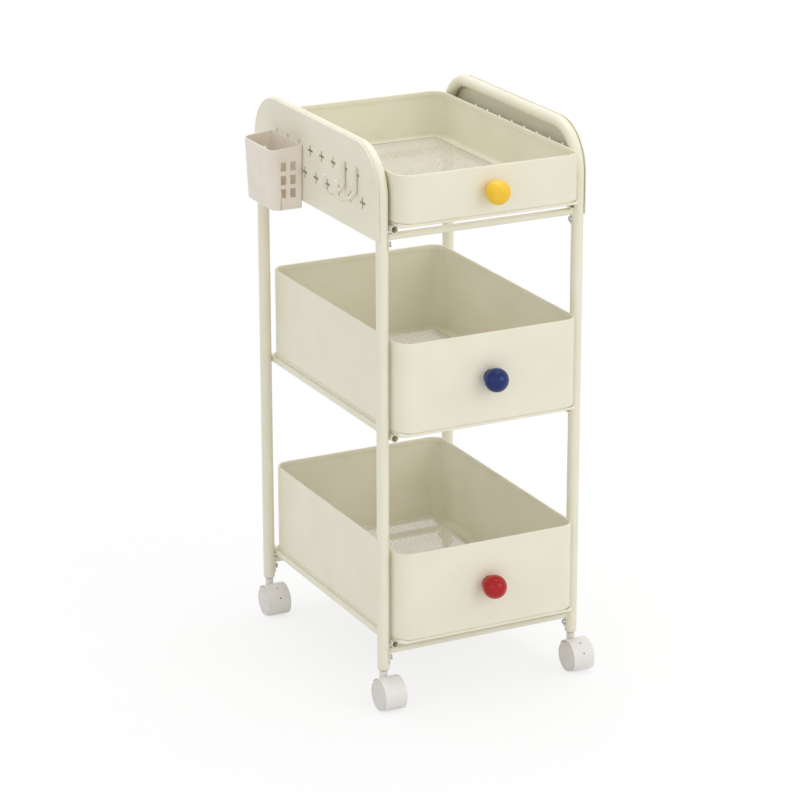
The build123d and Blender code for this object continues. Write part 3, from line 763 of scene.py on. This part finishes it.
def makeCaster(corner, s):
    low, high = boxOf(f"{corner}_axle")
    axle = (low + high) / 2 / mm
    inner = s["wheelRadius"] + s["shieldGap"]
    outer = inner + s["shieldThickness"]
    mid, half = (inner + outer) / 2, s["shieldThickness"] / 2

    # shield: from the swivel axis over the top and down the front, to just above the floor
    rear = -degrees(asin(s["trail"] / outer))
    front = degrees(pi - np.arccos((s["wheelRadius"] - s["floorGap"]) / mid))
    section = roundedStrip(2 * half, 2 * s["shieldHalfWidth"], s["shieldEdge"], 3)
    shield = turnedAbout(section + np.array([mid, 0.0]), np.linspace(rear, front, s["shieldSteps"]),
                         axle)

    # web: a sector that holds the shield, and a round plate about the axle
    flange, edge, start = s["webHalfWidth"], s["webEdge"], s["webInner"]
    reach, plateRadius = inner + s["webOverlap"], s["webRadius"]
    sector = np.array([[start, -flange], [reach, -flange], [reach, flange], [start, flange]])
    web = turnedAbout(sector, np.linspace(-s["webRearAngle"], front - 6, s["webSteps"]), axle)
    plateSection = np.array([[s["webBore"], -flange], [plateRadius - edge, -flange],
                             [plateRadius, -flange + edge], [plateRadius, flange - edge],
                             [plateRadius - edge, flange], [s["webBore"], flange]])
    plate = turnedAbout(plateSection, np.linspace(0, 360, s["shieldSteps"], endpoint=False), axle)

    # boss: turned about the swivel axis
    radius, bottom, top = s["bossRadius"], s["bossBottom"], s["bossTop"]
    foot, edge, bore = s["bossFoot"], s["bossEdge"], s["stemBore"]
    bossProfile = np.array([[0, bottom], [radius - foot, bottom], [radius, bottom + foot],
                            [radius, top - edge], [radius - edge, top], [bore, top],
                            [bore, s["boreBottom"]], [0, s["boreBottom"]]])
    swivel = np.array([axle[0], axle[1] + s["trail"], 0.0])
    boss = revolved(bossProfile * mm, s["bossSteps"], swivel * mm, (0, 0, 1))
    body = f"{corner}_caster"
    makePiece(f"{corner}_shield", [(shield * mm, False, True, True), (web * mm, False, True, True),
                                   (plate * mm, True, True, False), (boss, False, True, False)],
              body, "caster", [f"{corner}_fork"])
    # the pin holes are flat dark discs, painted shade on the shield rather than real holes
    if corner != s["plainCorner"]:
        for number, angle in enumerate(s["dimpleAngles"]):
            a = radians(angle)
            outwards = np.array([0.0, -sin(a), cos(a)])
            r, depth, step = s["dimpleRadius"], s["dimpleDepth"], s["dimpleStep"]
            pinProfile = np.array([[0, -depth], [r, -depth], [r, step], [0, step]])
            pin = revolved(pinProfile * mm, s["pinSteps"], (axle + outer * outwards) * mm, outwards)
            makePiece(f"{corner}_pin_hole_{number + 1}", [(pin, False, True, False)], body,
                      "dimple")

    # wheels: turned about the axle, each with a groove round its outer face
    for side, sign in (("left", -1), ("right", 1)):
        makeWheel(f"{corner}_{side}", sign, axle, s)


def makeWheel(name, sign, axle, s):
    width, radius, groove = s["wheelWidth"], s["wheelRadius"], s["faceGroove"]
    grooveWidth, floor, dish = s["grooveWidth"], width - s["grooveDepth"], s["faceDish"]
    inner, tread = s["innerRound"], s["treadRound"]
    profile = np.concatenate([
        [[0, s["boreDepth"]], [s["boreRadius"], s["boreDepth"]], [s["boreRadius"], 0]],
        arc((radius - inner, inner), inner, -90, 0, 4),
        arc((radius - tread, width - tread), tread, 0, 90, 6),
        [[groove + grooveWidth, width], [groove + grooveWidth / 2, floor],
         [groove - grooveWidth / 2, floor], [groove - grooveWidth, width]],
        [[groove * 0.8, width - dish * 0.4], [groove * 0.4, width - dish * 0.9], [0, width - dish]],
    ])
    low, high = boxOf(f"{name}_wheel")
    innerX = (low[0] if sign > 0 else high[0]) / mm
    origin = np.array([innerX, axle[1], axle[2]]) * mm
    points = revolved(profile * mm, s["wheelSteps"], origin, (sign, 0, 0))
    makePiece(f"{name}_tread_wheel", [(points, False, True, False)], f"{name}_roller",
              "wheel", [f"{name}_wheel"], sharpAngle=30)


for corner in cornerNames:
    makeCaster(corner, casterSettings)
print("casters made")


# CAD nodes that keep their own shape get their finishes

cadFinishes = {
    "frame_paint": "coat", "panel_paint": "coat", "bin_paint": "coat", "mesh_paint": "meshCoat",
    "screw_steel": "zinc", "cup_plastic": "cup", "hook_plastic": "hook",
    "socket_plastic": "socket", "caster_plastic": "caster", "wheel_plastic": "wheel",
    "red_knob": "redAbs", "blue_knob": "blueAbs", "yellow_knob": "yellowAbs",
}
for part in frame["record"]["subparts"]:
    cadNode = nodes[part["node"]]
    cadNode.data.materials.clear()
    cadNode.data.materials.append(materials[cadFinishes[part["material_slot"]]])
print("node finishes set")


# Floor: plain white, it keeps the cart's soft shadow

floorSettings = {
    "size": 12.0, "albedo": "#EDEDED", "glow": 0.14,
    "shadowShare": 0.32,                     # how strongly the shadow shows beside plain white
    "nearReach": 0.55, "farReach": 1.5,      # metres from the middle, where the paper fades out
}


def makeFloor(s):
    half = s["size"] / 2
    mesh = bpy.data.meshes.new("studioFloor")
    mesh.from_pydata([(-half, -half, 0), (half, -half, 0), (half, half, 0), (-half, half, 0)], [],
                     [(0, 1, 2, 3)])
    material = bpy.data.materials.new("paperFloor")
    material.use_nodes = True
    tree = material.node_tree
    tree.nodes.clear()
    paper = addNode(tree, "ShaderNodeBsdfDiffuse", {"Color": hexColour(s["albedo"])})
    glow = addNode(tree, "ShaderNodeEmission",
                   {"Color": hexColour("#FFFFFF"), "Strength": s["glow"]})
    both = addNode(tree, "ShaderNodeAddShader")
    tree.links.new(paper.outputs[0], both.inputs[0])
    tree.links.new(glow.outputs[0], both.inputs[1])
    # the paper turns into even white, like the world, with distance from the cart
    place = addNode(tree, "ShaderNodeTexCoord").outputs["Object"]
    reach = addNode(tree, "ShaderNodeVectorMath", {"operation": "LENGTH"}, {"Vector": place})
    share = remap(tree, reach.outputs["Value"], s["nearReach"], s["farReach"],
                  s["shadowShare"], 0.0)
    white = addNode(tree, "ShaderNodeEmission", {"Color": hexColour("#FFFFFF"), "Strength": 1.0})
    shown = addNode(tree, "ShaderNodeMixShader", links={"Fac": share})
    tree.links.new(white.outputs[0], shown.inputs[1])
    tree.links.new(both.outputs[0], shown.inputs[2])
    mix = addNode(tree, "ShaderNodeMixShader", links={"Fac": seenRays(tree)})
    tree.links.new(paper.outputs[0], mix.inputs[1])
    tree.links.new(shown.outputs[0], mix.inputs[2])
    addNode(tree, "ShaderNodeOutputMaterial", links={"Surface": mix.outputs[0]})
    mesh.materials.append(material)
    floor = bpy.data.objects.new("studioFloor", mesh)
    bpy.context.scene.collection.objects.link(floor)


makeFloor(floorSettings)
